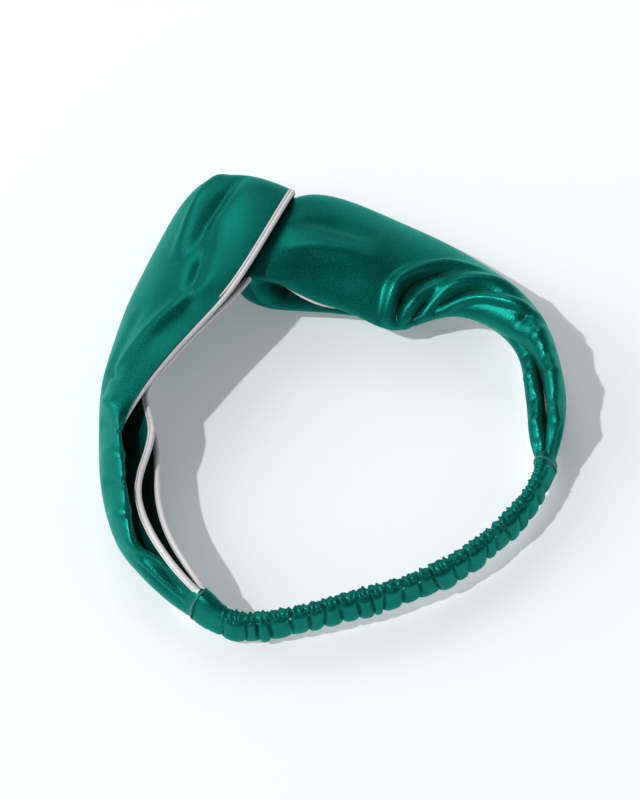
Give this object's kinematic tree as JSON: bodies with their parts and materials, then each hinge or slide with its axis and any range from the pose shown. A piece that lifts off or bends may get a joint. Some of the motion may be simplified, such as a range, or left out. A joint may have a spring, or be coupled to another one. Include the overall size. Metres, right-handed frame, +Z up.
{
  "type": "knotted headband",
  "caption": "Satin headband of two piped strips knotted together, with a gathered elastic at the back that stretches as the ring opens.",
  "frame": {"origin": "on the table plane under the centre of the headband's overall box, as it lies flat", "axes": "+Z up from the table, +Y from the elastic towards the knot, +X towards the strip that comes out from under the knot"},
  "size_m": [0.1766, 0.1932, 0.0376],
  "materials": {
    "green_satin": "satin",
    "white_piping": "satin",
    "cord_core": "matte",
    "elastic_webbing": "matte",
    "green_thread": "matte"
  },
  "bodies": {
    "left_side": {"left_strip_face": "green_satin", "left_strip_lining": "green_satin", "left_inner_edge_piping_cover": "white_piping", "left_inner_edge_piping_cord": "cord_core", "left_outer_edge_piping_cover": "white_piping", "left_outer_edge_piping_cord": "cord_core", "elastic_band": "elastic_webbing", "elastic_casing": "green_satin", "left_join_thread": "green_thread"},
    "right_side": {"right_strip_face": "green_satin", "right_strip_lining": "green_satin", "right_inner_edge_piping_cover": "white_piping", "right_inner_edge_piping_cord": "cord_core", "right_outer_edge_piping_cover": "white_piping", "right_outer_edge_piping_cord": "cord_core", "right_join_thread": "green_thread"}
  },
  "joints": [
    {"name": "knot_flex", "type": "hinge", "parent": "left_side", "child": "right_side", "pos_m": [-0.02642, 0.06733, 0], "axis": [0, 0, 1], "range_deg": [-5, 13], "stiffness_Nm_per_rad": 0.35, "deforming": ["elastic_band", "elastic_casing"]}
  ]
}
